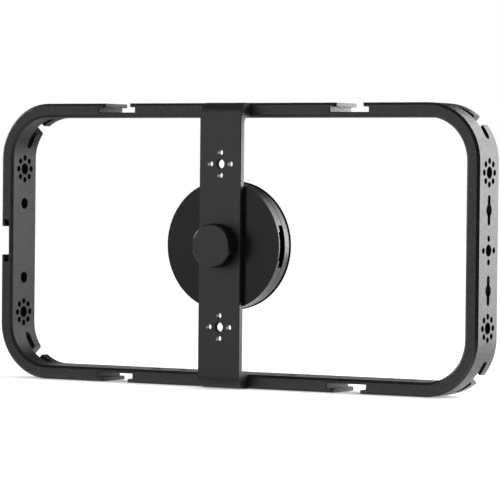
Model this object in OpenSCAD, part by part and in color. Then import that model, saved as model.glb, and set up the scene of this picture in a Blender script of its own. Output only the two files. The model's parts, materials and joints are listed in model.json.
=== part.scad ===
// Phone cage: a flat metal ring with accessory shoes and threaded holes, a bridge bar across its
// front and a round magnetic phone mount that a thumb knob clamps behind the bar.
// Frame: +x right, -y towards the knob, +z up. The origin is the middle of the ring's under face.

/* [Ring] */
// Outer width of the ring
ring_w = 244; // [220:1:290]
// Outer height of the ring
ring_h = 125.5; // [116:0.5:150]
// Depth of the ring from front to back
ring_d = 20; // [18:0.5:26]
// Thickness of the ring's wall
ring_wall = 6.2; // [5.8:0.1:8]
// Outer radius of the ring's corners
corner_r = 25; // [21:0.5:28]
// Chamfer along the ring's edges
ring_edge = 1.1; // [0.4:0.1:1.4]

/* [Accessory shoes] */
// Distance of the upper and lower shoes from the middle of the ring
shoe_x = 59.4; // [54:0.2:62]
// Width of a shoe's slot
shoe_w = 18.9; // [18:0.1:20]
// Width of the mouth between a shoe's lips
shoe_mouth = 13; // [12:0.1:14]
// Height of a shoe's slot
shoe_slot = 2.4; // [2:0.1:2.6]
// Thickness of a shoe's lips
shoe_lip = 1.7; // [1.2:0.1:1.9]
// Chamfer around the ends of a shoe's slot
shoe_edge = 0.4; // [0.1:0.1:0.8]
// Lead-in chamfer on the ends of the lips
shoe_lead = 1; // [0.3:0.1:1.5]

/* [Hole patterns] */
// Diameter of the rails' holes, tapped for camera screws
thread_d = 5.1; // [4:0.1:5.6]
// Diameter of the bar's smaller tapped holes
bar_thread_d = 4.2; // [3.4:0.1:5.2]
// Chamfer at the mouths of the tapped holes
thread_edge = 0.1; // [0.05:0.05:0.5]
// Circle of the pin holes around a tapped hole
pattern_pcd = 10; // [9.4:0.1:11]
// Diameter of the pin holes
pin_d = 2.7; // [2:0.1:3]
// Distance of the outer patterns on the side rails from mid height
rail_pattern_z = 33; // [31:0.5:34]
// Distance of the inner holes on the side rails from mid height
rail_hole_z = 17.1; // [16:0.1:18]
// Length of the slots through the inner holes of the right rail
key_l = 13; // [9:0.2:14]
// Width of those slots
key_w = 2.7; // [1.5:0.1:3]
// First tapped hole of the lower rail, from the middle
base_x1 = -43; // [-46:0.5:-38]
// Second tapped hole of the lower rail, from the middle
base_x2 = -29; // [-32:0.5:-22]
// Third tapped hole of the lower rail, from the middle
base_x3 = 27; // [26:0.5:33]
// Distance between the two pin holes beside the third tapped hole
base_pin_span = 17; // [12:0.5:18]
// Middle of the pin pair near the right corner, from the middle of the ring
base_pair_x = 82; // [78:0.5:86]

/* [Strap slots] */
// Length of a corner's strap slot
strap_l = 19.2; // [14:0.2:20]
// Width of a strap slot
strap_w = 3.8; // [2.5:0.1:4.5]
// Distance of a strap slot behind the middle of the ring's depth
strap_y = 2.3; // [0:0.1:3]
// Width of the notch that leads a strap in from the back
strap_notch = 5.3; // [3:0.1:7]

/* [Bridge bar] */
// Width of the bar
bar_w = 21; // [19:0.2:26]
// Thickness of the bar
bar_t = 2.75; // [2.4:0.05:4]
// Distance of the bar's front ahead of the ring's front
bar_proud = 8.2; // [7:0.1:11]
// Outer radius of the bar's bends
bend_r = 5.2; // [4.2:0.1:5.8]
// Radius inside the bar's bends
bar_fillet = 3; // [1:0.1:4]
// Chamfer along the bar's front edges
bar_edge = 0.25; // [0.1:0.05:0.7]
// Distance of the bar's hole patterns from mid height
bar_pattern_z = 35.8; // [30:0.2:40]

/* [Bar screws] */
// Distance of the bar's screws from the middle of the bar
screw_x = 6; // [4:0.1:7]
// Thread diameter of the bar's screws
screw_d = 2.5; // [2:0.1:2.6]
// Diameter of the screws' heads
screw_head_d = 4.4; // [3.6:0.1:4.6]
// Height of the screws' heads
screw_head_h = 2.4; // [1.5:0.1:2.8]
// Depth of the heads' counterbores in the back of the ring
screw_sink = 3; // [2.8:0.1:5]
// Length of thread in the bar
screw_grip = 5.5; // [3:0.1:6]
// Width across the flats of the screws' sockets
screw_key = 2; // [1.3:0.1:2.2]
// Depth of the screws' sockets
screw_key_h = 1.2; // [0.5:0.1:1.4]

/* [Magnetic mount] */
// Radius of the mount
mount_r = 28.5; // [27.8:0.1:31]
// Thickness of the mount's front shell
front_t = 5.6; // [5.1:0.05:8]
// Thickness of the mount's rear shell
rear_t = 4.6; // [2.9:0.1:5]
// Loss of radius from the mount's front edge to its rear edge
mount_taper = 0.5; // [0:0.05:0.7]
// Chamfer on the mount's front edge
mount_edge = 0.1; // [0.1:0.05:1]
// Chamfer on both sides of the line between the shells
part_edge = 0.18; // [0.05:0.01:0.4]
// Distance of the rubber pad's rim inside the mount's front edge
pad_inset = 0.1; // [0.1:0.05:0.6]
// Thickness of the rubber pad
pad_t = 0.6; // [0.6:0.1:3]
// Chamfer on the pad's rear edge
pad_edge = 0.15; // [0.1:0.05:0.5]
// Distance of the adhesive film's rim inside the pad's rim
film_inset = 0.5; // [0.1:0.05:0.8]
// Thickness of the adhesive film
film_t = 0.15; // [0.05:0.05:0.3]

/* [Side socket] */
// Width of the socket in the mount's side
socket_w = 18.5; // [14:0.1:20]
// Width of the socket's front step
socket_neck = 12.8; // [8:0.1:13.5]
// Metal left in front of the socket
socket_skin = 0.8; // [0.6:0.1:2.2]
// Depth of the socket's front step
socket_step = 1.2; // [0.5:0.1:1.6]
// Distance of the socket's inner end from the mount's axis
socket_in = 11.5; // [10:0.5:18]

/* [Magnets] */
// Metal left outside the magnets
magnet_rim = 1.5; // [1.5:0.1:2.2]
// Radial width of the magnets
magnet_w = 4; // [2.5:0.1:4.4]
// Thickness of the magnets
magnet_t = 2; // [1:0.1:2.1]
// Number of magnets in the ring
magnet_n = 16; // [8:2:20]
// Angle between neighbouring magnets in degrees
magnet_split = 1.2; // [0.5:0.1:3]
// Thickness of the steel ring in front of the magnets
shunt_t = 0.5; // [0.2:0.1:0.6]

/* [Shell screws] */
// Metal left between the magnets and the shells' screw heads
shell_screw_rim = 1.55; // [0.6:0.05:3]
// Thread diameter of the shells' screws
shell_screw_d = 2.5; // [2:0.1:3]
// Diameter of their countersunk heads
shell_head_d = 4.6; // [4:0.1:4.8]
// Length of thread in the front shell
shell_screw_grip = 3.6; // [2:0.1:4]
// Width across the flats of their sockets
shell_key = 1.5; // [1:0.1:1.6]
// Depth of their sockets
shell_key_h = 0.8; // [0.4:0.1:1]

/* [Threaded bush] */
// Outer radius of the bush
bush_r = 5.5; // [4.6:0.1:6]
// Radius of the bush's flange
bush_flange_r = 6.8; // [6.5:0.1:8]
// Thickness of the bush's flange
bush_flange_t = 1; // [0.6:0.1:1.6]
// Distance of the bush's mouth behind the mount's front
bush_set = 0.1; // [0.05:0.05:0.3]

/* [Friction ring] */
// Inner radius of the friction ring
grip_r1 = 7.2; // [6.6:0.1:7.8]
// Outer radius of the friction ring
grip_r2 = 9.8; // [9:0.1:10.2]
// Depth of the friction ring's groove
grip_depth = 0.8; // [0.4:0.1:1]
// Distance of the friction ring's face ahead of the mount's front
grip_proud = 0.05; // [0.02:0.01:0.07]

/* [Thumb knob] */
// Radius of the knob over its knurl
knob_r = 9.7; // [8.5:0.1:12]
// Height of the knob
knob_h = 6.8; // [5:0.1:10]
// Chamfer on the knob's edges
knob_edge = 0.75; // [0.2:0.05:0.8]
// Number of ridges in the knurl
knurl_n = 62; // [40:2:80]
// Depth of the knurl
knurl_depth = 0.38; // [0.15:0.01:0.5]
// Radius of the thrust washer
washer_r = 8.2; // [6:0.1:8.4]
// Thickness of the thrust washer
washer_t = 0.8; // [0.4:0.1:1.5]
// Diameter of the stud
stud_d = 6.35; // [5:0.05:6.5]
// Depth of the stud in the knob
stud_seat = 4.8; // [2.5:0.1:4.9]
// Length of the stud in the bush
stud_grip = 4.6; // [4:0.1:5]
// Chamfer on the stud's tip
stud_edge = 0.6; // [0.2:0.1:0.8]

/* [Clearances] */
// Gap between the bar and the mount
mount_gap = 0.1; // [0.08:0.01:0.3]
// Gap on each face of the thrust washer
knob_gap = 0.05; // [0.02:0.01:0.1]
// Radial gap around the stud
stud_clear = 0.06; // [0.02:0.01:0.1]
// Radial gap of parts that are pressed or set in
set_clear = 0.05; // [0.02:0.01:0.1]
// Radial gap around screw shanks
shank_clear = 0.1; // [0.05:0.01:0.2]
// Radial gap around screw heads
head_clear = 0.2; // [0.1:0.05:0.3]

/* [Hidden] */
$fn = 96;
hole_fn = 40;
arc_steps = 18;
over = 0.5;
mid_z = ring_h / 2;
half_d = ring_d / 2;
front_y = -half_d;
bar_front_y = front_y - bar_proud;
bar_back_y = bar_front_y + bar_t;
mount_y = bar_back_y + mount_gap;
rear_y = mount_y + front_t;
film_y = rear_y + rear_t;
pad_y = film_y + film_t;
washer_y = bar_front_y - knob_gap;
knob_y = washer_y - washer_t - knob_gap;
stud_tip_y = mount_y + stud_grip;
stud_r = stud_d / 2;
screw_z = ring_wall / 2;
socket_lip = socket_skin + socket_step;
pad_r = mount_r - pad_inset;
film_r = pad_r - film_inset;
magnet_r2 = mount_r - magnet_rim;
magnet_r1 = magnet_r2 - magnet_w;
shell_screw_r = magnet_r1 - set_clear - shell_screw_rim - shell_head_d / 2 - shank_clear;
magnet_well = shunt_t + magnet_t + set_clear;
black_metal = [0.11, 0.11, 0.115];
dark_steel = [0.16, 0.16, 0.17];

// The magnets are counted from 1.
function magnet_name(i) = str("ring_magnet_", i);

// Radius of the mount's side at a depth behind its front face
function side_r(depth) = mount_r - mount_taper * depth / (front_t + rear_t);

// The four corners run counter-clockwise from the upper right one.
function corner_x(k) = (k == 0 || k == 3 ? 1 : -1) * (ring_w / 2 - corner_r);
function corner_z(k) = k < 2 ? ring_h - corner_r : corner_r;

// Turns a shape so that its z axis points to the back, on the mount's axis at depth y.
module to_back(y) {
    translate([0, y, mid_z])
        rotate([-90, 0, 0])
            children();
}

// Turns a shape so that its z axis points to the front, on the mount's axis at depth y.
module to_front(y) {
    translate([0, y, mid_z])
        rotate([90, 0, 0])
            children();
}

// Copies a shape at the lower end of the bar to its upper end.
module both_ends() {
    children();
    translate([0, 0, ring_h])
        mirror([0, 0, 1])
            children();
}

// A tapped through hole of diameter d, with chamfered mouths, from z = 0 to depth.
module tapped_cut(depth, d = thread_d) {
    mouth = thread_edge + over;
    translate([0, 0, -over])
        cylinder(d = d, h = depth + 2 * over, $fn = hole_fn);
    for (end = [0, 1])
        translate([0, 0, end * depth])
            mirror([0, 0, end])
                translate([0, 0, -over])
                    cylinder(r1 = d / 2 + mouth, r2 = d / 2, h = mouth, $fn = hole_fn);
}

// One through pin hole from z = 0 to depth.
module pin_cut(depth) {
    translate([0, 0, -over])
        cylinder(d = pin_d, h = depth + 2 * over, $fn = hole_fn);
}

// A tapped hole of diameter d with n pin holes around it.
module pattern_cut(n, depth, d = thread_d) {
    tapped_cut(depth, d);
    for (i = [0 : n - 1])
        rotate(i * 360 / n)
            translate([pattern_pcd / 2, 0, 0])
                pin_cut(depth);
}

// A slot of round-ended outline along x, centred.
module stadium(l, w) {
    square([l - w, w], center = true);
    for (side = [-1, 1])
        translate([side * (l - w) / 2, 0])
            circle(d = w, $fn = hole_fn);
}

// Section of the ring's wall: x from its inner to its outer face, y through the depth.
module ring_section() {
    polygon([
        [0, ring_edge - half_d],
        [ring_edge, -half_d],
        [ring_wall - ring_edge, -half_d],
        [ring_wall, ring_edge - half_d],
        [ring_wall, half_d - ring_edge],
        [ring_wall - ring_edge, half_d],
        [ring_edge, half_d],
        [0, half_d - ring_edge]
    ]);
}

// A quarter of the ring about its corner's centre: the round corner and half of the two rails it joins.
module ring_quarter() {
    inner_r = corner_r - ring_wall;
    rotate([90, 0, 0])
        rotate_extrude(angle = 90)
            translate([inner_r, 0])
                ring_section();
    translate([inner_r, 0, 0])
        mirror([0, 0, 1])
            linear_extrude(mid_z - corner_r + over)
                ring_section();
    translate([0, 0, inner_r])
        rotate([0, -90, 0])
            linear_extrude(ring_w / 2 - corner_r + over)
                ring_section();
}

// The ring before its cuts.
module ring_blank() {
    translate([0, 0, mid_z])
        for (side = [0, 1], end = [0, 1])
            mirror([side, 0, 0])
                mirror([0, 0, end])
                    translate([ring_w / 2 - corner_r, 0, mid_z - corner_r])
                        ring_quarter();
}

// Plan outline of a cut of width w through the ring's depth, flared by edge at both ends.
module flared(w, edge) {
    wide = w / 2 + edge + over;
    reach = half_d + over;
    polygon([
        [-wide, -reach],
        [wide, -reach],
        [w / 2, edge - half_d],
        [w / 2, half_d - edge],
        [wide, reach],
        [-wide, reach],
        [-w / 2, half_d - edge],
        [-w / 2, edge - half_d]
    ]);
}

// An accessory shoe cut down from z = 0: slot, mouth and the chamfers at the ends of its floor.
module shoe_cut() {
    floor_z = -shoe_lip - shoe_slot;
    reach = half_d + over;
    translate([0, 0, floor_z])
        linear_extrude(shoe_slot)
            flared(shoe_w, shoe_edge);
    translate([0, 0, -shoe_lip - shoe_slot / 2])
        linear_extrude(shoe_lip + shoe_slot / 2 + over)
            flared(shoe_mouth, shoe_lead);
    for (end = [0, 1])
        mirror([0, end, 0])
            translate([-shoe_w / 2, 0, floor_z])
                rotate([90, 0, 90])
                    linear_extrude(shoe_w)
                        polygon([
                            [-reach, -shoe_edge - over],
                            [shoe_edge - half_d, 0],
                            [shoe_edge - half_d, shoe_slot / 2],
                            [-reach, shoe_slot / 2]
                        ]);
}

// All five shoes.
module shoe_cuts() {
    for (side = [-1, 1]) {
        translate([side * shoe_x, 0, ring_h])
            shoe_cut();
        translate([side * shoe_x, 0, 0])
            rotate([0, 180, 0])
                shoe_cut();
    }
    translate([-ring_w / 2, 0, mid_z])
        rotate([0, -90, 0])
            shoe_cut();
}

// Outline of a strap slot with the notch that opens it to the back of the ring.
module strap_outline() {
    translate([0, strap_y])
        stadium(strap_l, strap_w);
    translate([-strap_notch / 2, strap_y])
        square([strap_notch, half_d - strap_y + over]);
}

// The strap slots, one square through each corner.
module strap_cuts() {
    inner = (corner_r - ring_wall) / 2;
    for (k = [0 : 3])
        translate([corner_x(k), 0, corner_z(k)])
            rotate([0, 45 - 90 * k, 0])
                translate([0, 0, inner])
                    linear_extrude(corner_r - inner + over)
                        strap_outline();
}

// Holes through the right rail: two eight-pin patterns, one four-pin pattern and two slotted holes.
module right_rail_cuts() {
    translate([ring_w / 2 - ring_wall, 0, mid_z])
        rotate([0, 90, 0]) {
            pattern_cut(4, ring_wall);
            for (side = [-1, 1]) {
                translate([side * rail_pattern_z, 0, 0])
                    pattern_cut(8, ring_wall);
                translate([side * rail_hole_z, 0, 0]) {
                    tapped_cut(ring_wall);
                    translate([0, 0, -over])
                        linear_extrude(ring_wall + 2 * over)
                            stadium(key_l, key_w);
                }
            }
        }
}

// Holes through the left rail: two eight-pin patterns and two tapped holes.
module left_rail_cuts() {
    translate([-ring_w / 2, 0, mid_z])
        rotate([0, 90, 0])
            for (side = [-1, 1]) {
                translate([side * rail_pattern_z, 0, 0])
                    pattern_cut(8, ring_wall);
                translate([side * rail_hole_z, 0, 0])
                    tapped_cut(ring_wall);
            }
}

// Holes through the lower rail.
module lower_rail_cuts() {
    for (x = [base_x1, base_x2, base_x3])
        translate([x, 0, 0])
            tapped_cut(ring_wall);
    for (side = [-1, 1]) {
        translate([base_x3 + side * base_pin_span / 2, 0, 0])
            pin_cut(ring_wall);
        translate([base_pair_x + side * pattern_pcd / 2, 0, 0])
            pin_cut(ring_wall);
    }
}

// Places a shape at each of the bar's four screws, z towards the front, from the counterbore's floor.
module at_bar_screws() {
    both_ends()
        for (side = [-1, 1])
            translate([side * screw_x, half_d - screw_sink, screw_z])
                rotate([90, 0, 0])
                    children();
}

module cage_frame() {
    color(black_metal)
        difference() {
            ring_blank();
            shoe_cuts();
            strap_cuts();
            right_rail_cuts();
            left_rail_cuts();
            lower_rail_cuts();
            at_bar_screws() {
                translate([0, 0, -over])
                    cylinder(r = screw_d / 2 + shank_clear, h = ring_d + over, $fn = hole_fn);
                translate([0, 0, -screw_sink - over])
                    cylinder(r = screw_head_d / 2 + head_clear, h = screw_sink + over, $fn = hole_fn);
            }
        }
}

// Section of the bar: x across it, y from its back to its front.
module bar_section() {
    half = bar_w / 2;
    polygon([
        [-half, 0],
        [half, 0],
        [half, bar_t - bar_edge],
        [half - bar_edge, bar_t],
        [bar_edge - half, bar_t],
        [-half, bar_t - bar_edge]
    ]);
}

// Outline, in y and z, of the metal behind the lower bend: the arm to the ring and its inner fillet.
module arm_outline() {
    start_y = bar_back_y - (bar_t - bar_edge) / 2;
    round_y = bar_back_y + bar_fillet;
    round_z = ring_wall + bar_fillet;
    polygon(concat(
        [
            [start_y, bar_t - bar_edge],
            [front_y, bar_t - bar_edge],
            [front_y, ring_wall - ring_edge],
            [front_y + ring_edge, ring_wall]
        ],
        [
            for (i = [0 : arc_steps])
                [
                    round_y - bar_fillet * sin(90 * i / arc_steps),
                    round_z - bar_fillet * cos(90 * i / arc_steps)
                ]
        ],
        [[start_y, round_z]]
    ));
}

// The bar's outer skin about the axis of its lower bend:
// half of its length, the bend and the arm's under face.
module bar_skin() {
    inner_r = bend_r - bar_t;
    translate([0, -inner_r, 0])
        mirror([0, 1, 0])
            linear_extrude(mid_z - bend_r + over)
                bar_section();
    rotate([0, 90, 0])
        rotate([0, 0, -90])
            rotate_extrude(angle = 90)
                translate([inner_r, 0])
                    rotate(-90)
                        bar_section();
    translate([0, 0, -inner_r])
        rotate([-90, 0, 0])
            linear_extrude(bar_proud - bend_r)
                bar_section();
}

// Half of the bar: its skin, and the arm that reaches back to the ring and wraps its front chamfer.
module bar_half() {
    translate([0, bar_front_y + bend_r, bend_r])
        bar_skin();
    translate([-bar_w / 2, 0, 0])
        rotate([90, 0, 90])
            linear_extrude(bar_w)
                arm_outline();
    translate([bar_edge - bar_w / 2, 0, 0])
        rotate([90, 0, 90])
            linear_extrude(bar_w - 2 * bar_edge)
                polygon([
                    [front_y - ring_edge, 0],
                    [front_y + ring_edge, 0],
                    [front_y, ring_edge],
                    [front_y - ring_edge, ring_edge]
                ]);
}

module bridge_bar() {
    color(black_metal)
        difference() {
            both_ends()
                bar_half();
            for (side = [-1, 1])
                translate([0, bar_back_y, mid_z + side * bar_pattern_z])
                    rotate([90, 0, 0])
                        pattern_cut(4, bar_t, bar_thread_d);
            to_front(bar_back_y)
                translate([0, 0, -over])
                    cylinder(r = stud_r + stud_clear, h = bar_t + 2 * over);
            at_bar_screws()
                translate([0, 0, ring_d - screw_sink - over])
                    cylinder(r = screw_d / 2 + set_clear, h = screw_grip + 2 * over, $fn = hole_fn);
        }
}

module bridge_screws() {
    color(dark_steel)
        at_bar_screws()
            difference() {
                union() {
                    cylinder(d = screw_d, h = ring_d - screw_sink + screw_grip, $fn = hole_fn);
                    translate([0, 0, -screw_head_h])
                        cylinder(d = screw_head_d, h = screw_head_h, $fn = hole_fn);
                }
                translate([0, 0, -screw_head_h - over])
                    cylinder(d = screw_key / cos(30), h = screw_key_h + over, $fn = 6);
            }
}

// Star outline of the knurl.
function knurl_points() = [
    for (i = [0 : 2 * knurl_n - 1])
        let (r = i % 2 == 0 ? knob_r : knob_r - knurl_depth, a = 180 * i / knurl_n)
            [r * cos(a), r * sin(a)]
];

module knob_cap() {
    cone = knob_edge + over;
    color(black_metal)
        to_front(knob_y)
            difference() {
                intersection() {
                    linear_extrude(knob_h)
                        polygon(knurl_points());
                    rotate_extrude()
                        polygon([
                            [0, 0],
                            [knob_r - knob_edge, 0],
                            [knob_r + over, cone],
                            [knob_r + over, knob_h - cone],
                            [knob_r - knob_edge, knob_h],
                            [0, knob_h]
                        ]);
                }
                translate([0, 0, -over])
                    cylinder(r = stud_r + set_clear, h = stud_seat + over);
            }
}

module knob_stud() {
    length = stud_tip_y - knob_y;
    color("silver")
        to_front(stud_tip_y)
            rotate_extrude()
                polygon([
                    [0, 0],
                    [stud_r - stud_edge, 0],
                    [stud_r, stud_edge],
                    [stud_r, length + stud_seat],
                    [0, length + stud_seat]
                ]);
}

module knob_washer() {
    color([0.2, 0.2, 0.2])
        to_front(washer_y)
            difference() {
                cylinder(r = washer_r, h = washer_t);
                translate([0, 0, -over])
                    cylinder(r = stud_r + stud_clear, h = washer_t + 2 * over);
            }
}

// Places a shape at each of the shells' four screws, in the mount's own frame.
module at_shell_screws() {
    for (i = [0 : 3])
        rotate(45 + 90 * i)
            translate([shell_screw_r, 0, 0])
                children();
}

// The stepped socket that opens in the mount's right side and in the back of its front shell.
module socket_cut() {
    reach = mount_r - socket_in + over;
    translate([socket_in, -socket_w / 2, socket_lip])
        cube([reach, socket_w, front_t - socket_lip + over]);
    translate([socket_in, -socket_neck / 2, socket_skin])
        cube([reach, socket_neck, front_t - socket_skin + over]);
}

module mount_front_shell() {
    color(black_metal)
        to_back(mount_y)
            difference() {
                rotate_extrude()
                    polygon([
                        [0, 0],
                        [mount_r - mount_edge, 0],
                        [side_r(mount_edge), mount_edge],
                        [side_r(front_t - part_edge), front_t - part_edge],
                        [side_r(front_t) - part_edge, front_t],
                        [0, front_t]
                    ]);
                translate([0, 0, -over])
                    cylinder(r = bush_r + set_clear, h = front_t + 2 * over);
                translate([0, 0, front_t - bush_flange_t])
                    cylinder(r = bush_flange_r + set_clear, h = bush_flange_t + over);
                translate([0, 0, -over])
                    difference() {
                        cylinder(r = grip_r2 + set_clear, h = grip_depth + over);
                        cylinder(r = grip_r1 - set_clear, h = grip_depth + over);
                    }
                socket_cut();
                at_shell_screws()
                    translate([0, 0, front_t - shell_screw_grip - over])
                        cylinder(
                            r = shell_screw_d / 2 + set_clear,
                            h = shell_screw_grip + 2 * over,
                            $fn = hole_fn
                        );
            }
}

module mount_bush() {
    color("goldenrod")
        to_back(mount_y)
            difference() {
                union() {
                    translate([0, 0, bush_set])
                        cylinder(r = bush_r, h = front_t - bush_set);
                    translate([0, 0, front_t - bush_flange_t])
                        cylinder(r = bush_flange_r, h = bush_flange_t);
                }
                translate([0, 0, -over])
                    cylinder(r = stud_r + stud_clear, h = front_t + 2 * over);
            }
}

module friction_ring() {
    color([0.06, 0.06, 0.06])
        to_back(mount_y)
            translate([0, 0, -grip_proud])
                difference() {
                    cylinder(r = grip_r2, h = grip_depth + grip_proud);
                    translate([0, 0, -over])
                        cylinder(r = grip_r1, h = grip_depth + grip_proud + 2 * over);
                }
}

module mount_rear_shell() {
    cone = shell_head_d / 2 - shell_screw_d / 2;
    color(black_metal)
        to_back(rear_y)
            difference() {
                rotate_extrude()
                    polygon([
                        [0, 0],
                        [side_r(front_t) - part_edge, 0],
                        [side_r(front_t + part_edge), part_edge],
                        [side_r(front_t + rear_t), rear_t],
                        [0, rear_t]
                    ]);
                translate([0, 0, rear_t - magnet_well])
                    rotate_extrude()
                        translate([magnet_r1 - set_clear, 0])
                            square([magnet_w + 2 * set_clear, magnet_well + over]);
                at_shell_screws() {
                    translate([0, 0, -over])
                        cylinder(r = shell_screw_d / 2 + shank_clear, h = rear_t + 2 * over, $fn = hole_fn);
                    translate([0, 0, rear_t - cone])
                        cylinder(
                            r1 = shell_screw_d / 2 + shank_clear,
                            r2 = shell_head_d / 2 + shank_clear + over,
                            h = cone + over,
                            $fn = hole_fn
                        );
                }
            }
}

module shell_screws() {
    cone = shell_head_d / 2 - shell_screw_d / 2;
    color(dark_steel)
        to_back(rear_y)
            at_shell_screws()
                difference() {
                    union() {
                        translate([0, 0, -shell_screw_grip])
                            cylinder(d = shell_screw_d, h = shell_screw_grip + rear_t, $fn = hole_fn);
                        translate([0, 0, rear_t - cone])
                            cylinder(d1 = shell_screw_d, d2 = shell_head_d, h = cone, $fn = hole_fn);
                    }
                    translate([0, 0, rear_t - shell_key_h])
                        cylinder(d = shell_key / cos(30), h = shell_key_h + over, $fn = 6);
                }
}

module shunt_ring() {
    color("gray")
        to_back(rear_y)
            translate([0, 0, rear_t - magnet_well])
                rotate_extrude()
                    translate([magnet_r1, 0])
                        square([magnet_w, shunt_t]);
}

module ring_magnet(i) {
    color("lightgray")
        to_back(rear_y)
            translate([0, 0, rear_t - magnet_well + shunt_t])
                rotate((i - 1) * 360 / magnet_n)
                    rotate_extrude(angle = 360 / magnet_n - magnet_split)
                        translate([magnet_r1, 0])
                            square([magnet_w, magnet_t]);
}

module pad_film() {
    color([0.3, 0.3, 0.3])
        to_back(film_y)
            cylinder(r = film_r, h = film_t);
}

module grip_pad() {
    color([0.05, 0.05, 0.05])
        to_back(pad_y)
            rotate_extrude()
                polygon([
                    [0, 0],
                    [pad_r, 0],
                    [pad_r, pad_t - pad_edge],
                    [pad_r - pad_edge, pad_t],
                    [0, pad_t]
                ]);
}

cage_frame();
bridge_bar();
bridge_screws();
knob_cap();
knob_stud();
knob_washer();
mount_front_shell();
mount_bush();
friction_ring();
mount_rear_shell();
shunt_ring();
shell_screws();
pad_film();
grip_pad();
for (i = [1 : magnet_n])
    ring_magnet(i);
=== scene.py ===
import json
import math

import bpy
import numpy as np
from mathutils import Matrix, Vector


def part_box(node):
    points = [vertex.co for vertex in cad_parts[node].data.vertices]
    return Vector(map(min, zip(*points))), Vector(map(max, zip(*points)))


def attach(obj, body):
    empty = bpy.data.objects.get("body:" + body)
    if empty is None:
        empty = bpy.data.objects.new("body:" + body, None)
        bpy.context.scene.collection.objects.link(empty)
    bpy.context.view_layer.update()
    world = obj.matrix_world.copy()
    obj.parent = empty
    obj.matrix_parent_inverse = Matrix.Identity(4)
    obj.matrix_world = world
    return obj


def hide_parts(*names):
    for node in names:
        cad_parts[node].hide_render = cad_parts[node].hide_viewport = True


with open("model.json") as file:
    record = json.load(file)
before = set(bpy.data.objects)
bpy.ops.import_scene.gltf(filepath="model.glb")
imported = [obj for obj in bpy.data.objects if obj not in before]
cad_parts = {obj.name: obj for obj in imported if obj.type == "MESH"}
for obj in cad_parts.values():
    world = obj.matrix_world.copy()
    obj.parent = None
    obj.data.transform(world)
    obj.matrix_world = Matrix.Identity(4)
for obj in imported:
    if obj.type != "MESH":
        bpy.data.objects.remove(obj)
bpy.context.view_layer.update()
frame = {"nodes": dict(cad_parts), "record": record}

MM = 0.001
ROUND = 2 * math.pi
SCENE = bpy.context.scene

# Sizes repeated from the part's source, in mm
RING_H = 125.5
PIVOT_Z = RING_H / 2
THREAD_PITCH = 1.27
STUD_MAJOR_R = 3.175
STUD_TIP_EDGE = 0.6
FRICTION_INNER_R = 7.2

# Sizes of the made pieces, in mm
THREAD_DEPTH = 0.6134 * THREAD_PITCH
COARSE_TURN = (THREAD_PITCH, 0.15)  # pitch and height of the turns in a tapped hole
FINE_TURN = (0.8, 0.1)
FINE_HOLE_R = 2.3
TURN_SLOPE = 1.2  # above 1, so that the crests are flat
TURN_FADE = 0.3
LINING_PROUD, LINING_SUNK = 0.01, 0.04
SLANT = (0.37, 0.81, 0.45)  # a direction along no hole's axis
FRICTION_EDGE = 0.2
PAD_EDGE, PAD_POLE_R = 0.15, 0.4
PAD_GROOVE_IN, PAD_GROOVE_W, PAD_GROOVE_D = 7.0, 1.0, 0.25

# Flats of a 60 degree thread, as parts of its half pitch
ROOT_FLAT, CREST_FLAT = 0.25, 0.125

# Points of the made pieces: columns go round, and rows along (in a tapped hole, for each pitch)
TURN_COLUMNS, TURN_ROWS = 36, 12
STUD_COLUMNS, STUD_ROWS = 48, 150
PAD_COLUMNS, FRICTION_COLUMNS = 160, 96

# Nearly all values of a noise lie between these two
NOISE_LOW, NOISE_HIGH = 0.3, 0.7
NOISE_RANGE = {"From Min": NOISE_LOW, "From Max": NOISE_HIGH}


# Colour, nodes and meshes
def linear(hex_text):
    """sRGB hex to linear RGBA: a channel c becomes c / 12.92 up to 0.04045,
    and ((c + 0.055) / 1.055) ^ 2.4 above it."""
    c = np.array([int(hex_text[i : i + 2], 16) for i in (0, 2, 4)]) / 255
    low, high = c / 12.92, ((c + 0.055) / 1.055) ** 2.4
    return (*np.where(c <= 0.04045, low, high), 1.0)


def node(tree, kind, inputs=None, stops=(), **settings):
    """Adds one node with its settings. An input is a plain value, or the socket that is linked to it, and
    stops are the places and sRGB colours on a colour ramp."""
    made = tree.nodes.new("ShaderNode" + kind)
    for name, value in settings.items():
        setattr(made, name, value)
    for name, value in (inputs or {}).items():
        if isinstance(value, bpy.types.NodeSocket):
            tree.links.new(value, made.inputs[name])
        else:
            made.inputs[name].default_value = value
    for number, (position, colour) in enumerate(stops):
        made.color_ramp.elements[number].position = position
        made.color_ramp.elements[number].color = linear(colour)
    return made


def surface(name):
    """An empty material tree, and the mesh's own coordinates in metres."""
    material = bpy.data.materials.new(name)
    material.use_nodes = True
    tree = material.node_tree
    tree.nodes.clear()
    place = node(tree, "TexCoord").outputs["Object"]
    return material, tree, place


def grid_faces(rows, cols, wrap_rows=False, wrap_cols=False, first=0):
    """Quads of a grid of points numbered row by row; a wrapped side joins its last line to its first."""
    i = np.arange(rows if wrap_rows else rows - 1)[:, None]
    j = np.arange(cols if wrap_cols else cols - 1)[None, :]
    i2, j2 = (i + 1) % rows, (j + 1) % cols
    corners = np.broadcast_arrays(i * cols + j, i * cols + j2, i2 * cols + j2, i2 * cols + j)
    return np.stack(corners, axis=-1).reshape(-1, 4) + first


def piece(name, points_mm, faces, material, smooth=True):
    """A mesh object at the origin, with its place in its points, given in mm."""
    mesh = bpy.data.meshes.new(name)
    mesh.from_pydata((points_mm * MM).tolist(), [], [list(f) for f in faces])
    mesh.materials.append(material)
    mesh.polygons.foreach_set("use_smooth", np.full(len(mesh.polygons), smooth))
    mesh.update()
    made = bpy.data.objects.new(name, mesh)
    SCENE.collection.objects.link(made)
    return made


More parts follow.
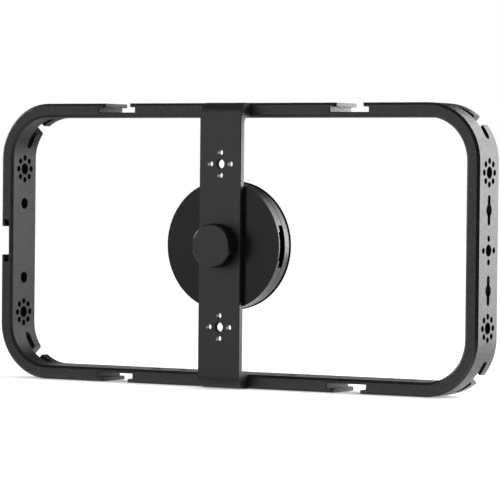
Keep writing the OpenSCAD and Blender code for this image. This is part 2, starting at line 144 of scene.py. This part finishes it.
# Materials
def blasted_black_anodised_aluminium():
    """Aluminium, blasted with glass beads and anodised black: an even satin, a little deeper than
    graphite, that catches a bright light as a fine-grained grey sheen. The grit is about 0.1 mm, and is
    drawn 0.7 mm wide, as dents and as a grain in the dye, so that it shows."""
    material, tree, place = surface("blasted_black_anodised_aluminium")
    grit = node(tree, "TexNoise", {
        "Vector": place, "Scale": 1 / (0.7 * MM), "Detail": 2.0, "Roughness": 0.7}).outputs["Fac"]
    shade = node(tree, "ValToRGB", {"Fac": grit}, stops=((NOISE_LOW, "2f2f30"), (NOISE_HIGH, "3f3f41")))
    rough = node(tree, "MapRange", {"Value": grit, **NOISE_RANGE, "To Min": 0.27, "To Max": 0.34})
    dents = node(tree, "Bump", {"Height": grit, "Strength": 1.0, "Distance": 0.2 * MM})
    shader = node(tree, "BsdfPrincipled", {
        "Base Color": shade.outputs["Color"], "Metallic": 0.9, "Roughness": rough.outputs[0],
        "Normal": dents.outputs["Normal"]})
    node(tree, "OutputMaterial", {"Surface": shader.outputs[0]})
    return material


def brushed_black_anodised_aluminium():
    """Aluminium strip, brushed along its length, bent and anodised black: a smooth satin, even in tone,
    with faint streaks along the bar. The scratches are about 0.05 mm wide, drawn 0.6 mm wide."""
    material, tree, place = surface("brushed_black_anodised_aluminium")
    along = node(tree, "Mapping", {"Vector": place, "Scale": (1, 0.02, 0.02)}).outputs[0]
    streak = node(tree, "TexNoise", {"Vector": along, "Scale": 1 / (0.6 * MM), "Detail": 2.0}).outputs["Fac"]
    shade = node(tree, "ValToRGB", {"Fac": streak}, stops=((NOISE_LOW, "38383a"), (NOISE_HIGH, "3c3d3e")))
    rough = node(tree, "MapRange", {"Value": streak, **NOISE_RANGE, "To Min": 0.42, "To Max": 0.48})
    scratches = node(tree, "Bump", {"Height": streak, "Strength": 0.5, "Distance": 0.004 * MM})
    shader = node(tree, "BsdfPrincipled", {
        "Base Color": shade.outputs["Color"], "Metallic": 0.9, "Roughness": rough.outputs[0],
        "Normal": scratches.outputs["Normal"]})
    node(tree, "OutputMaterial", {"Surface": shader.outputs[0]})
    return material


def tapped_black_anodised_aluminium():
    """The flanks of a cut thread, anodised black, with painted shade: near black and almost without gloss,
    for the shade that a deep thread casts on itself and these shallow turns can't cast. The tearing by the
    tap is about 0.05 mm, drawn 0.2 mm wide, as roughness and bumps."""
    material, tree, place = surface("tapped_black_anodised_aluminium")
    tears = node(tree, "TexNoise", {"Vector": place, "Scale": 1 / (0.2 * MM), "Detail": 2.0}).outputs["Fac"]
    rough = node(tree, "MapRange", {"Value": tears, **NOISE_RANGE, "To Min": 0.7, "To Max": 0.85})
    ragged = node(tree, "Bump", {"Height": tears, "Strength": 1.0, "Distance": 0.05 * MM})
    shader = node(tree, "BsdfPrincipled", {
        "Base Color": linear("0b0b0c"), "Roughness": rough.outputs[0],
        "IOR": 1.62, "Specular IOR Level": 0.05, "Normal": ragged.outputs["Normal"]})
    node(tree, "OutputMaterial", {"Surface": shader.outputs[0]})
    return material


def turned_black_anodised_aluminium(piece_name, tone):
    """Aluminium, turned on a lathe, fine blasted and anodised black: smoother than the ring, with rings of
    tool marks about the puck's axis that only a raking light shows. The marks are 0.1 mm apart, drawn
    0.5 mm apart."""
    material, tree, place = surface(piece_name + "_turned_black_anodised_aluminium")
    spoke = node(tree, "Mapping", {"Vector": place, "Location": (0, 0, -PIVOT_Z * MM), "Scale": (1, 0, 1)})
    radius = node(tree, "VectorMath", {0: spoke.outputs[0]}, operation="LENGTH").outputs["Value"]
    turns = node(tree, "Math", {0: radius, 1: ROUND / (0.5 * MM)}, operation="MULTIPLY")
    marks = node(tree, "Math", {0: turns.outputs[0]}, operation="SINE")
    grit = node(tree, "TexNoise", {"Vector": place, "Scale": 1 / (0.4 * MM), "Detail": 2.0}).outputs["Fac"]
    rough = node(tree, "MapRange", {"Value": grit, **NOISE_RANGE, "To Min": 0.26, "To Max": 0.32})
    cut = node(tree, "Bump", {"Height": marks.outputs[0], "Strength": 0.5, "Distance": 0.0006 * MM})
    dents = node(tree, "Bump", {"Height": grit, "Distance": 0.006 * MM, "Normal": cut.outputs["Normal"]})
    shader = node(tree, "BsdfPrincipled", {
        "Base Color": linear(tone), "Metallic": 0.9, "Roughness": rough.outputs[0],
        "Normal": dents.outputs["Normal"]})
    node(tree, "OutputMaterial", {"Surface": shader.outputs[0]})
    return material


def black_oxide_steel():
    """Steel screws, blackened in a hot oxide bath: near black, oily in gloss, with faint clouds."""
    material, tree, place = surface("black_oxide_steel")
    cloud = node(tree, "TexNoise", {"Vector": place, "Scale": 1 / (1.2 * MM), "Detail": 3.0}).outputs["Fac"]
    shade = node(tree, "ValToRGB", {"Fac": cloud}, stops=((NOISE_LOW, "3f3e40"), (NOISE_HIGH, "4a4847")))
    rough = node(tree, "MapRange", {"Value": cloud, **NOISE_RANGE, "To Min": 0.3, "To Max": 0.45})
    shader = node(tree, "BsdfPrincipled", {
        "Base Color": shade.outputs["Color"], "Metallic": 1.0, "Roughness": rough.outputs[0]})
    node(tree, "OutputMaterial", {"Surface": shader.outputs[0]})
    return material


def turned_bright_steel():
    """Stainless steel as it leaves the lathe: bright, with fine tool marks that stretch highlights along
    the cut."""
    material, tree, place = surface("turned_bright_steel")
    along = node(tree, "Mapping", {"Vector": place, "Scale": (0.1, 1, 0.1)}).outputs[0]
    marks = node(tree, "TexNoise", {"Vector": along, "Scale": 1 / (0.15 * MM), "Detail": 2.0}).outputs["Fac"]
    rough = node(tree, "MapRange", {"Value": marks, **NOISE_RANGE, "To Min": 0.2, "To Max": 0.34})
    cut = node(tree, "Bump", {"Height": marks, "Strength": 0.6, "Distance": 0.004 * MM})
    shader = node(tree, "BsdfPrincipled", {
        "Base Color": linear("c8c6c3"), "Metallic": 1.0, "Roughness": rough.outputs[0],
        "Normal": cut.outputs["Normal"]})
    node(tree, "OutputMaterial", {"Surface": shader.outputs[0]})
    return material


def turned_brass():
    """Free-cutting brass, turned: warm yellow metal with fine tool marks."""
    material, tree, place = surface("turned_brass")
    along = node(tree, "Mapping", {"Vector": place, "Scale": (0.1, 1, 0.1)}).outputs[0]
    marks = node(tree, "TexNoise", {"Vector": along, "Scale": 1 / (0.2 * MM), "Detail": 2.0}).outputs["Fac"]
    rough = node(tree, "MapRange", {"Value": marks, **NOISE_RANGE, "To Min": 0.2, "To Max": 0.32})
    shader = node(tree, "BsdfPrincipled", {
        "Base Color": linear("dcbd82"), "Metallic": 1.0, "Roughness": rough.outputs[0]})
    node(tree, "OutputMaterial", {"Surface": shader.outputs[0]})
    return material


def plated_nickel():
    """Nickel plate over sintered magnets: silvery with a faint warm tint and a slightly pebbled gloss."""
    material, tree, place = surface("plated_nickel")
    pebble = node(tree, "TexNoise", {"Vector": place, "Scale": 1 / (0.5 * MM), "Detail": 1.0}).outputs["Fac"]
    rough = node(tree, "MapRange", {"Value": pebble, **NOISE_RANGE, "To Min": 0.14, "To Max": 0.24})
    dents = node(tree, "Bump", {"Height": pebble, "Distance": 0.006 * MM})
    shader = node(tree, "BsdfPrincipled", {
        "Base Color": linear("d5d0c7"), "Metallic": 1.0, "Roughness": rough.outputs[0],
        "Normal": dents.outputs["Normal"]})
    node(tree, "OutputMaterial", {"Surface": shader.outputs[0]})
    return material


def moulded_silicone_rubber():
    """Silicone rubber, moulded against a spark-eroded tool: dull black with a soft bloom and a fine
    grain, 0.3 mm wide."""
    material, tree, place = surface("moulded_silicone_rubber")
    grain = node(tree, "TexNoise", {
        "Vector": place, "Scale": 1 / (0.3 * MM), "Detail": 3.0, "Roughness": 0.65}).outputs["Fac"]
    bloom = node(tree, "TexNoise", {"Vector": place, "Scale": 1 / (14 * MM), "Detail": 3.0}).outputs["Fac"]
    shade = node(tree, "ValToRGB", {"Fac": bloom}, stops=((NOISE_LOW, "0c0c0d"), (0.75, "101011")))
    rough = node(tree, "MapRange", {"Value": grain, **NOISE_RANGE, "To Min": 0.8, "To Max": 0.95})
    pits = node(tree, "Bump", {"Height": grain, "Strength": 0.8, "Distance": 0.02 * MM})
    shader = node(tree, "BsdfPrincipled", {
        "Base Color": shade.outputs["Color"], "Roughness": rough.outputs[0],
        "IOR": 1.41, "Specular IOR Level": 0.02, "Normal": pits.outputs["Normal"]})
    node(tree, "OutputMaterial", {"Surface": shader.outputs[0]})
    return material


def acrylic_adhesive_film():
    """Double-sided acrylic film: a cloudy pale grey sheet with a waxy gloss."""
    material, tree, place = surface("acrylic_adhesive_film")
    cloud = node(tree, "TexNoise", {"Vector": place, "Scale": 1 / (6 * MM), "Detail": 2.0}).outputs["Fac"]
    shade = node(tree, "ValToRGB", {"Fac": cloud}, stops=((0, "9a9a98"), (1, "a6a6a3")))
    shader = node(tree, "BsdfPrincipled", {
        "Base Color": shade.outputs["Color"], "Roughness": 0.4, "IOR": 1.49})
    node(tree, "OutputMaterial", {"Surface": shader.outputs[0]})
    return material


def moulded_acetal():
    """Acetal, moulded: a smooth waxy black plastic with a faint flow mottle."""
    material, tree, place = surface("moulded_acetal")
    flow = node(tree, "TexNoise", {"Vector": place, "Scale": 1 / (2.5 * MM), "Detail": 3.0}).outputs["Fac"]
    shade = node(tree, "ValToRGB", {"Fac": flow}, stops=((0, "151516"), (1, "1a1a1b")))
    rough = node(tree, "MapRange", {"Value": flow, **NOISE_RANGE, "To Min": 0.4, "To Max": 0.5})
    shader = node(tree, "BsdfPrincipled", {
        "Base Color": shade.outputs["Color"], "Roughness": rough.outputs[0], "IOR": 1.48})
    node(tree, "OutputMaterial", {"Surface": shader.outputs[0]})
    return material


BLASTED = blasted_black_anodised_aluminium()
BAR_COAT = brushed_black_anodised_aluminium()
# Near black and almost glossless: painted shade for the insides of the tapped holes
THREAD_PAINTED_SHADE = tapped_black_anodised_aluminium()
PUCK_COAT = turned_black_anodised_aluminium("puck", "262628")
KNOB_COAT = turned_black_anodised_aluminium("knob", "363637")
OXIDE = black_oxide_steel()
BRIGHT = turned_bright_steel()
BRASS = turned_brass()
NICKEL = plated_nickel()
RUBBER = moulded_silicone_rubber()
FILM = acrylic_adhesive_film()
ACETAL = moulded_acetal()

NODE_FINISH = {
    "cage_frame": BLASTED, "bridge_bar": BAR_COAT, "knob_cap": KNOB_COAT,
    "mount_front_shell": PUCK_COAT, "mount_rear_shell": PUCK_COAT,
    "bridge_screws": OXIDE, "shell_screws": OXIDE,
    "knob_stud": BRIGHT, "shunt_ring": BRIGHT,
    "mount_bush": BRASS,
    "friction_ring": RUBBER, "grip_pad": RUBBER,
    "pad_film": FILM, "knob_washer": ACETAL,
    **{name: NICKEL for name in frame["nodes"] if name.startswith("ring_magnet_")},
}
for name, material in NODE_FINISH.items():
    mesh = frame["nodes"][name].data
    mesh.materials.clear()
    mesh.materials.append(material)


# Made pieces
def tapped_turns(holes):
    """Thread turns as a thin lining of each tapped hole. The parameters are the angle and the depth: the
    lining's inner radius is the hole's, less a ridge that rises and falls once per pitch, climbs one pitch
    per round and fades at the hole's two ends; its outer side is a plain tube, sunk in the metal."""
    points, faces, first = [], [], 0
    angle = np.linspace(0, ROUND, TURN_COLUMNS, endpoint=False)[None, :]
    for hole in holes:
        radius, length = hole["dims"]["r_mm"], hole["dims"]["length_mm"]
        pitch, height = COARSE_TURN if radius > FINE_HOLE_R else FINE_TURN
        axis = np.array(hole["axis"], float)
        side = np.cross(axis, SLANT)
        side /= np.linalg.norm(side)
        over = np.cross(side, axis)
        depth = np.linspace(0, length, int(length / pitch * TURN_ROWS))[:, None]
        phase = (depth / pitch + angle / ROUND) % 1
        fade = np.clip(np.minimum(depth, length - depth) / TURN_FADE, 0, 1)
        ridge = np.clip(TURN_SLOPE * np.abs(2 * phase - 1), 0, 1) * fade
        inner = radius - LINING_PROUD - height * ridge
        outer = np.full((2, angle.size), radius + LINING_SUNK)
        out = np.concatenate([inner, outer])[..., None]
        along = np.concatenate([depth, [[length], [0]]])[..., None] - length / 2
        spoke = np.cos(angle)[..., None] * side + np.sin(angle)[..., None] * over
        lining = np.array(hole["pos_m"]) / MM + out * spoke + along * axis
        faces.append(grid_faces(*out.shape[:2], wrap_rows=True, wrap_cols=True, first=first))
        points.append(lining.reshape(-1, 3))
        first += out.size
    return np.concatenate(points), np.concatenate(faces)


def about_axis(radius, y):
    """Points carried round the puck's axis, the line x = 0, z = PIVOT_Z: row i, column j of the radius and
    y arrays stands at angle 2 pi j / columns."""
    angle = np.linspace(0, ROUND, radius.shape[1], endpoint=False)[None, :]
    return np.stack([radius * np.cos(angle), y, PIVOT_Z + radius * np.sin(angle)], axis=-1)


def capped(grid):
    """A grid of rings, from the first to the last, closed by one pole on the axis at each end."""
    rows, cols = grid.shape[:2]
    poles = np.array([(0, grid[0, 0, 1], PIVOT_Z), (0, grid[-1, 0, 1], PIVOT_Z)])
    j = np.arange(cols)
    j2 = (j + 1) % cols
    last = len(poles) + (rows - 1) * cols
    first_fan = np.stack([np.zeros(cols, int), len(poles) + j2, len(poles) + j], axis=-1)
    last_fan = np.stack([np.ones(cols, int), last + j, last + j2], axis=-1)
    faces = [*grid_faces(rows, cols, wrap_cols=True, first=len(poles)), *first_fan, *last_fan]
    return np.concatenate([poles, grid.reshape(-1, 3)]), faces


def threaded_stud():
    """The knob's stud. On rings along y its radius is the thread's: a 60 degree ridge with a flat crest
    and a flat root, whose phase moves one pitch per round, cut off by a 45 degree cone at the tip."""
    low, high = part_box("knob_stud")
    tip, end = high.y / MM, low.y / MM
    s = np.linspace(0, tip - end, STUD_ROWS)[:, None]
    angle = np.linspace(0, ROUND, STUD_COLUMNS, endpoint=False)[None, :]
    phase = (s / THREAD_PITCH + angle / ROUND) % 1
    ridge = np.clip((np.abs(2 * phase - 1) - ROOT_FLAT) / (1 - ROOT_FLAT - CREST_FLAT), 0, 1)
    radius = STUD_MAJOR_R - THREAD_DEPTH * (1 - ridge)
    radius = np.minimum(radius, STUD_MAJOR_R - STUD_TIP_EDGE + s)
    return capped(about_axis(radius, np.broadcast_to(tip - s, radius.shape)))


def rounded(corners, radius, steps=6):
    """A profile through (radius, y) corners, with each corner inside the line turned into an arc: the arc
    runs through the quadratic blend of the corner and its two tangent points."""
    corners = np.asarray(corners, float)
    line = [corners[:1]]
    for before, corner, after in zip(corners[:-2], corners[1:-1], corners[2:]):
        start = corner + (before - corner) * radius / np.linalg.norm(before - corner)
        stop = corner + (after - corner) * radius / np.linalg.norm(after - corner)
        t = np.linspace(0, 1, steps)[:, None]
        line.append((1 - t) ** 2 * start + 2 * t * (1 - t) * corner + t ** 2 * stop)
    return np.concatenate([*line, corners[-1:]])


def turned_rings(profile, columns):
    """A profile of (radius, y) points carried round the puck's axis, as a grid of rings."""
    radius, y = (np.repeat(column[:, None], columns, axis=1) for column in profile.T)
    return about_axis(radius, y)


def rubber_pad():
    """The pad on the puck's back: a disc with rounded rims, and a shallow groove round its rear face, over
    the magnets."""
    low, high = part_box("grip_pad")
    front, back, rim = low.y / MM, high.y / MM, high.x / MM
    groove = rim - PAD_GROOVE_IN
    profile = rounded([
        (PAD_POLE_R, back), (groove - PAD_GROOVE_W, back),
        (groove - PAD_GROOVE_W / 2, back - PAD_GROOVE_D), (groove + PAD_GROOVE_W / 2, back - PAD_GROOVE_D),
        (groove + PAD_GROOVE_W, back), (rim, back), (rim, front), (PAD_POLE_R, front)], PAD_EDGE)
    return capped(turned_rings(profile, PAD_COLUMNS))


def rubber_friction_ring():
    """The flat ring in the puck's front face: a rounded rectangle carried round the axis."""
    low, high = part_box("friction_ring")
    front, back, outer = low.y / MM, high.y / MM, high.x / MM
    inner, middle = FRICTION_INNER_R, (front + back) / 2
    profile = rounded([
        (outer, middle), (outer, front), (inner, front),
        (inner, back), (outer, back), (outer, middle)], FRICTION_EDGE)[:-1]
    grid = turned_rings(profile, FRICTION_COLUMNS)
    return grid.reshape(-1, 3), grid_faces(*grid.shape[:2], wrap_rows=True, wrap_cols=True)


threads = [m for m in frame["record"]["mounts"] if m["kind"] == "threaded_hole"]
MADE = (
    # The linings wear the near-black thread coat, painted shade inside the tapped holes
    ("tapped_turns", tapped_turns(threads), THREAD_PAINTED_SHADE, "frame", "anodised", None),
    ("threaded_stud", threaded_stud(), BRIGHT, "knob", "bright_steel", "knob_stud"),
    ("rubber_pad", rubber_pad(), RUBBER, "mount", "rubber", "grip_pad"),
    ("rubber_friction_ring", rubber_friction_ring(), RUBBER, "mount", "rubber", "friction_ring"),
)
for name, (points, faces), material, body, slot, stands_for in MADE:
    made = piece(name, points, faces, material)
    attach(made, body)
    if stands_for:
        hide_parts(stands_for)


# Floor, backdrop and light
FLOOR_FILL = 0.35
WORLD_LIGHT = 0.8


def white_to_the_eye(tree):
    """1 for rays that see the background, directly, in metal or through glass, and 0 for those that
    carry light."""
    ray = node(tree, "LightPath").outputs
    seen = node(tree, "Math", {0: ray["Is Camera Ray"], 1: ray["Is Glossy Ray"]}, operation="MAXIMUM")
    clear = node(tree, "Math", {0: seen.outputs[0], 1: ray["Is Transmission Ray"]}, operation="MAXIMUM")
    return clear.outputs[0]


def card(name, centre_mm, width_mm, height_mm, facing, material):
    """A flat studio card about its centre, square to the direction it faces."""
    turn = np.array(Vector(facing).to_track_quat("Z", "Y").to_matrix())
    u, v = np.meshgrid(np.linspace(-0.5, 0.5, 3) * width_mm, np.linspace(-0.5, 0.5, 3) * height_mm)
    flat = np.stack([u, v, np.zeros_like(u)], axis=-1).reshape(-1, 3)
    made = piece(name, flat @ turn.T + np.array(centre_mm), grid_faces(*u.shape), material, smooth=False)
    return made


floor_paper, tree, _ = surface("white_floor_paper")
fill = node(tree, "Math", {0: white_to_the_eye(tree), 1: FLOOR_FILL}, operation="MULTIPLY")
paper = node(tree, "BsdfDiffuse", {"Color": linear("f7f7f7")})
white = node(tree, "Emission", {"Color": (1, 1, 1, 1), "Strength": fill.outputs[0]})
lit_paper = node(tree, "AddShader", {0: paper.outputs[0], 1: white.outputs[0]})
node(tree, "OutputMaterial", {"Surface": lit_paper.outputs[0]})
card("floor", (0, 0, -0.2), 6000, 6000, (0, 0, 1), floor_paper)

# Grey cards that only reflections see: centre, width and height in mm
for name, grey, centre, width, height, facing in (
    ("flag_above", "8a8a8a", (0, 0, 900), 2400, 2000, (0, 0, -1)),
    ("flag_right", "181818", (430, -250, 250), 520, 500, (-0.86, 0.5, 0)),
    ("flag_right_floor", "181818", (430, -250, 1), 520, 520, (0, 0, 1)),
    ("flag_front_floor", "e4e4e4", (-175, -260, 1), 550, 480, (0, 0, 1)),
    ("flag_behind_low", "d0d0d0", (-470, 700, 110), 860, 220, (0, -1, 0)),
    ("flag_behind_floor", "181818", (-400, 450, 1), 900, 480, (0, 0, 1)),
    ("flag_below", "fbfbfb", (-120, 115, 1), 340, 190, (0, 0, 1)),
    ("flag_behind_high", "606060", (-470, 700, 660), 860, 880, (0, -1, 0)),
    ("flag_behind_right", "a8a8a8", (300, 700, 150), 420, 300, (0, -1, 0)),
    ("flag_left", "a0a0a0", (-1100, 250, 120), 900, 240, (1, -0.2, 0)),
):
    cloth, tree, _ = surface(name + "_cloth")
    matt = node(tree, "BsdfDiffuse", {"Color": linear(grey)})
    node(tree, "OutputMaterial", {"Surface": matt.outputs[0]})
    flag = card(name, centre, width, height, facing, cloth)
    flag.visible_camera = flag.visible_diffuse = flag.visible_shadow = flag.visible_transmission = False

world = bpy.data.worlds.new("white_studio")
SCENE.world = world
world.use_nodes = True
tree = world.node_tree
tree.nodes.clear()
level = node(tree, "MapRange", {"Value": white_to_the_eye(tree), "To Min": WORLD_LIGHT, "To Max": 1.0})
sky = node(tree, "Background", {"Color": (1, 1, 1, 1), "Strength": level.outputs[0]})
node(tree, "OutputWorld", {"Surface": sky.outputs[0]})


def softbox(name, centre_mm, target_mm, width_mm, height_mm, brightness, fan_deg=180):
    """A soft rectangular lamp that shines at a target; brightness is its own, as white paper has 1. A grid
    can narrow the fan of its light."""
    lamp = bpy.data.lights.new(name, "AREA")
    lamp.shape = "RECTANGLE"
    lamp.size, lamp.size_y = width_mm * MM, height_mm * MM
    lamp.energy = brightness * math.pi * lamp.size * lamp.size_y
    lamp.spread = math.radians(fan_deg)
    made = bpy.data.objects.new(name, lamp)
    SCENE.collection.objects.link(made)
    centre, target = Vector(centre_mm), Vector(target_mm)
    made.location = centre * MM
    made.rotation_euler = (target - centre).to_track_quat("-Z", "Y").to_euler()
    made.visible_camera = False


softbox("softbox_right", (318, 245, 145), (93, -134, 115), 310, 400, 5.0)
softbox("softbox_upper", (138, 330, 292), (110, -10, 120), 150, 210, 2.5)
softbox("softbox_edge", (290, 262, 130), (122, 0, 80), 70, 120, 5.5)
softbox("softbox_middle", (104, 172, 88), (28, -11, 66), 60, 115, 0.66, fan_deg=50)
softbox("softbox_left", (-1150, 530, 380), (0, -20, 70), 400, 240, 4.0)
softbox("softbox_front", (-300, -1160, 250), (0, 0, 62), 700, 700, 0.34)

# Camera
CAMERA_EYE = Vector((698.9, -1190.0, 91.1)) * MM
CAMERA_AIM = Vector((3.72, 2.17, 60.62)) * MM
CAMERA_ROLL = math.radians(0.595)
LENS_LENGTH, SENSOR_WIDTH = 224.13, 36.0
NEAR, FAR = 0.05, 50.0
lens = bpy.data.cameras.new("photo_camera")
lens.lens, lens.sensor_width = LENS_LENGTH, SENSOR_WIDTH
lens.clip_start, lens.clip_end = NEAR, FAR
camera = bpy.data.objects.new("photo_camera", lens)
SCENE.collection.objects.link(camera)
look = (CAMERA_AIM - CAMERA_EYE).to_track_quat("-Z", "Y").to_matrix()
turned = look @ Matrix.Rotation(CAMERA_ROLL, 3, "Z")
camera.matrix_world = Matrix.Translation(CAMERA_EYE) @ turned.to_4x4()
SCENE.camera = camera

SCENE.view_settings.view_transform = "Standard"
